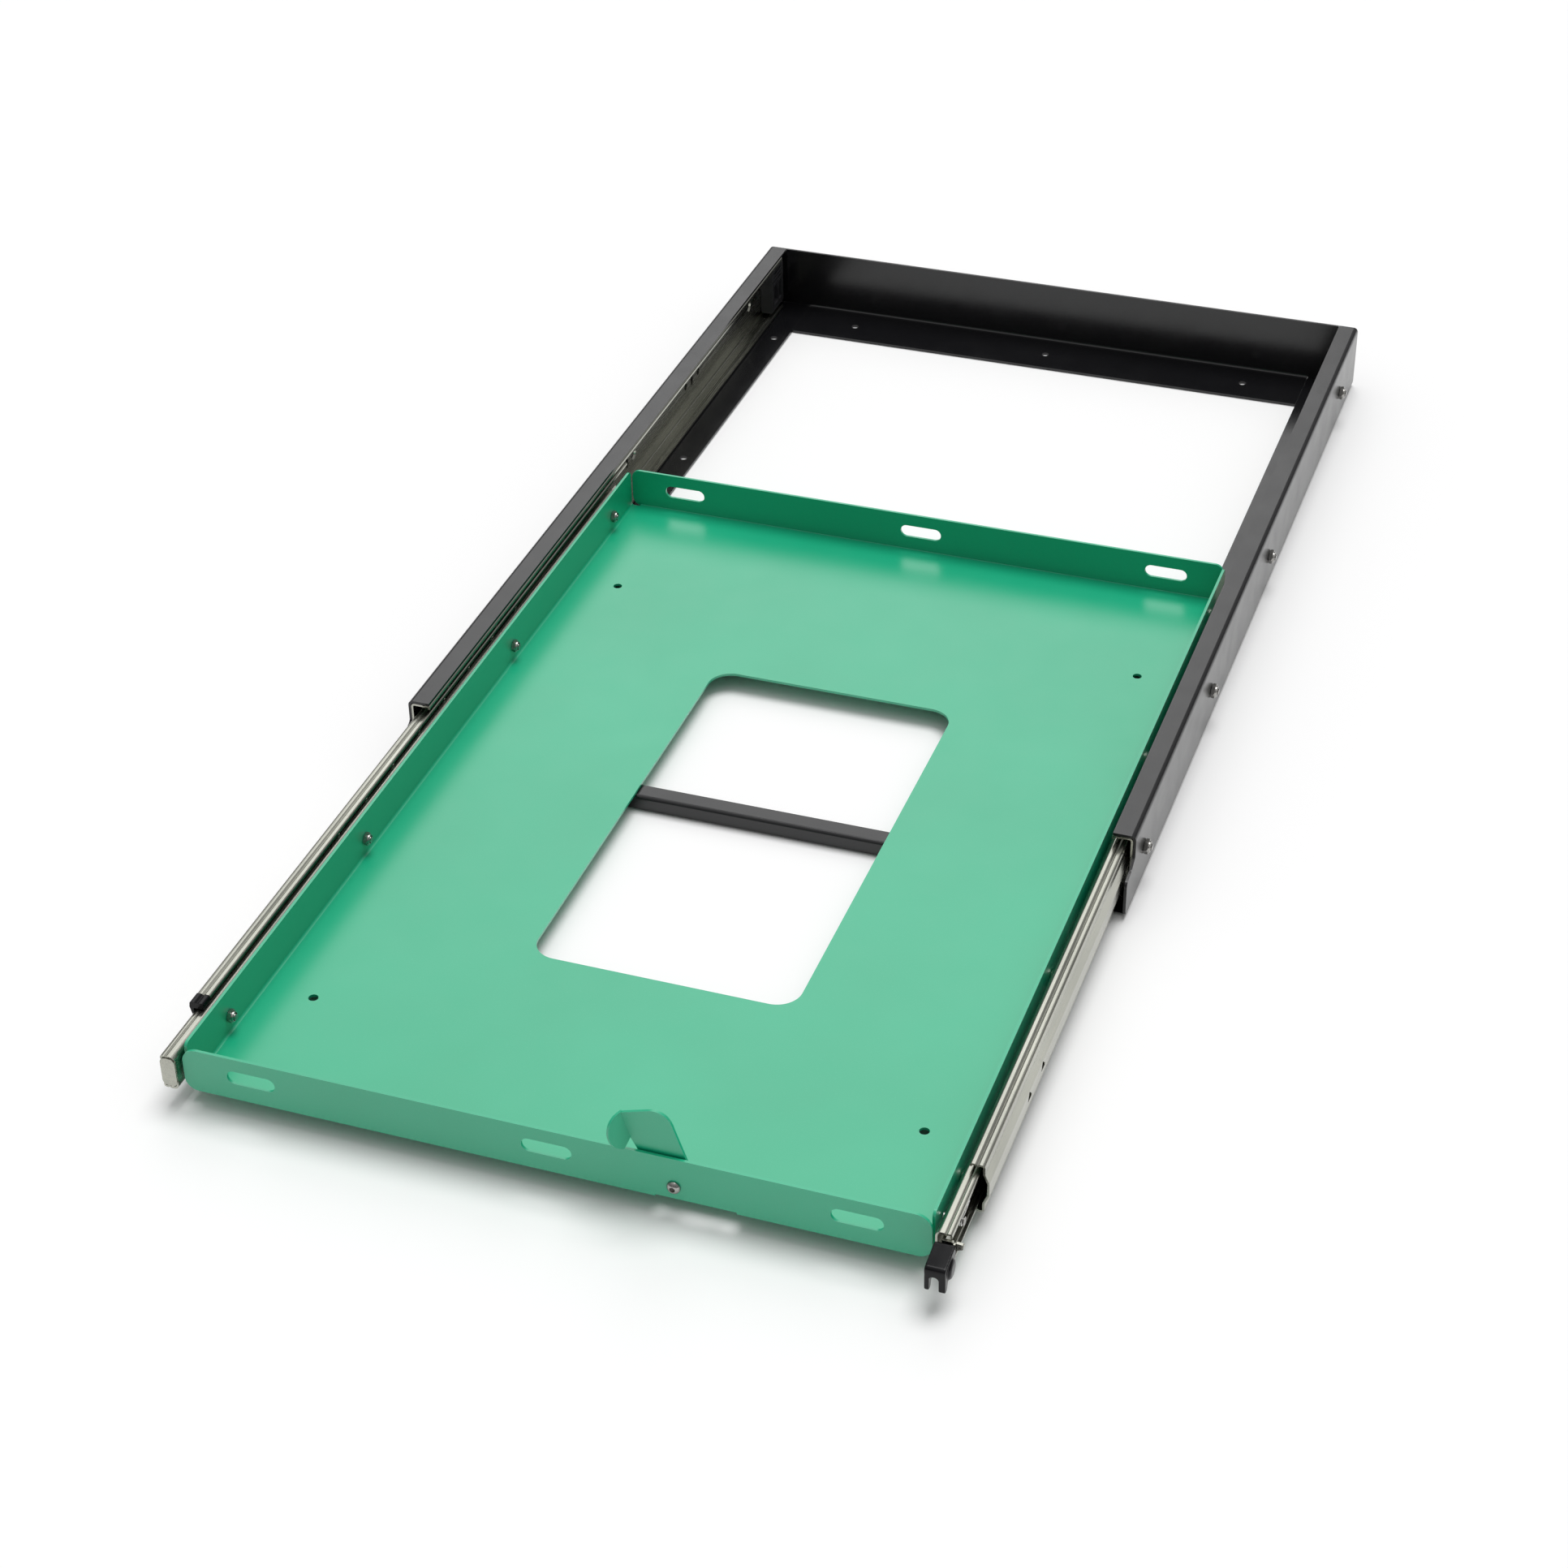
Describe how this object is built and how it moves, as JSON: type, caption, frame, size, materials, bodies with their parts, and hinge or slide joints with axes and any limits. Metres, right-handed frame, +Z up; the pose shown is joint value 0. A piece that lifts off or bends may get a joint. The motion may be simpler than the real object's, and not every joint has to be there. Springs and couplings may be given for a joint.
{
  "type": "slide-out tray on drawer slides",
  "caption": "Sheet-metal tray on full-extension ball-bearing slides in a low folded frame, with strap slots, a floor window, a swinging front latch and a slide lock lever.",
  "frame": {"origin": "middle of the cross member's underside, in the plane of the front ends of the rails' top flanges", "axes": "+Y to the rear, along the slides, with the tray pulling out to -Y; +X to the right seen from the front; +Z up"},
  "size_m": [0.5712, 1.2519, 0.081],
  "materials": {
    "black_coat": "black fine-texture powder coat, satin",
    "green_coat": "sea green powder coat, satin",
    "zinc_steel": "rolled steel, bright zinc plated, slightly yellow",
    "fastener_steel": "plain steel fasteners",
    "bright_steel": "polished balls in plain strip",
    "black_plastic": "moulded black plastic"
  },
  "bodies": {
    "frame": {"left_side_rail": "black_coat", "right_side_rail": "black_coat", "rear_panel": "black_coat", "front_cross_member": "black_coat", "left_outer_member": "zinc_steel", "right_outer_member": "zinc_steel", "left_rear_stop": "black_plastic", "right_rear_stop": "black_plastic", "left_rail_screw_1": "fastener_steel", "left_rail_screw_2": "fastener_steel", "left_rail_screw_3": "fastener_steel", "left_rail_screw_4": "fastener_steel", "left_rail_nut_1": "fastener_steel", "left_rail_nut_2": "fastener_steel", "left_rail_nut_3": "fastener_steel", "left_rail_nut_4": "fastener_steel", "right_rail_screw_1": "fastener_steel", "right_rail_screw_2": "fastener_steel", "right_rail_screw_3": "fastener_steel", "right_rail_screw_4": "fastener_steel", "right_rail_nut_1": "fastener_steel", "right_rail_nut_2": "fastener_steel", "right_rail_nut_3": "fastener_steel", "right_rail_nut_4": "fastener_steel"},
    "tray": {"tray_pan": "green_coat", "left_inner_member": "zinc_steel", "right_inner_member": "zinc_steel", "left_tray_screw_1": "fastener_steel", "left_tray_screw_2": "fastener_steel", "left_tray_screw_3": "fastener_steel", "left_tray_screw_4": "fastener_steel", "left_tray_nut_1": "fastener_steel", "left_tray_nut_2": "fastener_steel", "left_tray_nut_3": "fastener_steel", "left_tray_nut_4": "fastener_steel", "right_tray_screw_1": "fastener_steel", "right_tray_screw_2": "fastener_steel", "right_tray_screw_3": "fastener_steel", "right_tray_screw_4": "fastener_steel", "right_tray_nut_1": "fastener_steel", "right_tray_nut_2": "fastener_steel", "right_tray_nut_3": "fastener_steel", "right_tray_nut_4": "fastener_steel", "latch_pivot_screw": "fastener_steel", "latch_pivot_nut": "fastener_steel", "lock_lever_rivet": "fastener_steel", "lock_spring": "bright_steel"},
    "left_intermediate": {"left_intermediate_member": "zinc_steel", "left_front_bumper": "black_plastic"},
    "right_intermediate": {"right_intermediate_member": "zinc_steel"},
    "left_outer_cages": {"left_outer_cage_upper": "bright_steel", "left_outer_cage_lower": "bright_steel"},
    "left_inner_cages": {"left_inner_cage": "bright_steel"},
    "right_outer_cages": {"right_outer_cage_upper": "bright_steel", "right_outer_cage_lower": "bright_steel"},
    "right_inner_cages": {"right_inner_cage": "bright_steel"},
    "latch": {"latch_lever": "green_coat"},
    "lock": {"lock_lever": "zinc_steel", "lock_lever_grip": "black_plastic"}
  },
  "joints": [
    {"name": "left_intermediate_slide", "type": "slide", "parent": "frame", "child": "left_intermediate", "axis": [0, 1, 0], "range_m": [-0.046, 0.354]},
    {"name": "right_intermediate_slide", "type": "slide", "parent": "frame", "child": "right_intermediate", "axis": [0, 1, 0], "range_m": [-0.046, 0.354]},
    {"name": "left_outer_cage_slide", "type": "slide", "parent": "frame", "child": "left_outer_cages", "axis": [0, 1, 0], "range_m": [-0.023, 0.177]},
    {"name": "right_outer_cage_slide", "type": "slide", "parent": "frame", "child": "right_outer_cages", "axis": [0, 1, 0], "range_m": [-0.023, 0.177]},
    {"name": "tray_slide", "type": "slide", "parent": "left_intermediate", "child": "tray", "axis": [0, 1, 0], "range_m": [-0.345, 0.055]},
    {"name": "left_inner_cage_slide", "type": "slide", "parent": "left_intermediate", "child": "left_inner_cages", "axis": [0, 1, 0], "range_m": [-0.1725, 0.0275]},
    {"name": "right_inner_cage_slide", "type": "slide", "parent": "right_intermediate", "child": "right_inner_cages", "axis": [0, 1, 0], "range_m": [-0.1725, 0.0275]},
    {"name": "latch_hinge", "type": "hinge", "parent": "tray", "child": "latch", "pos_m": [0.087, -0.4038, 0.025], "axis": [0, 1, 0], "range_deg": [0, 18]},
    {"name": "lock_lever_hinge", "type": "hinge", "parent": "tray", "child": "lock", "pos_m": [0.2634, -0.388, 0.033], "axis": [1, 0, 0], "range_deg": [0, 7], "stiffness_Nm_per_rad": 0.4}
  ],
  "couplings": [
    {"joint": "right_intermediate_slide", "follows": "left_intermediate_slide", "ratio": 1},
    {"joint": "left_outer_cage_slide", "follows": "left_intermediate_slide", "ratio": 0.5},
    {"joint": "right_outer_cage_slide", "follows": "left_intermediate_slide", "ratio": 0.5},
    {"joint": "left_inner_cage_slide", "follows": "tray_slide", "ratio": 0.5},
    {"joint": "right_inner_cage_slide", "follows": "tray_slide", "ratio": 0.5}
  ]
}
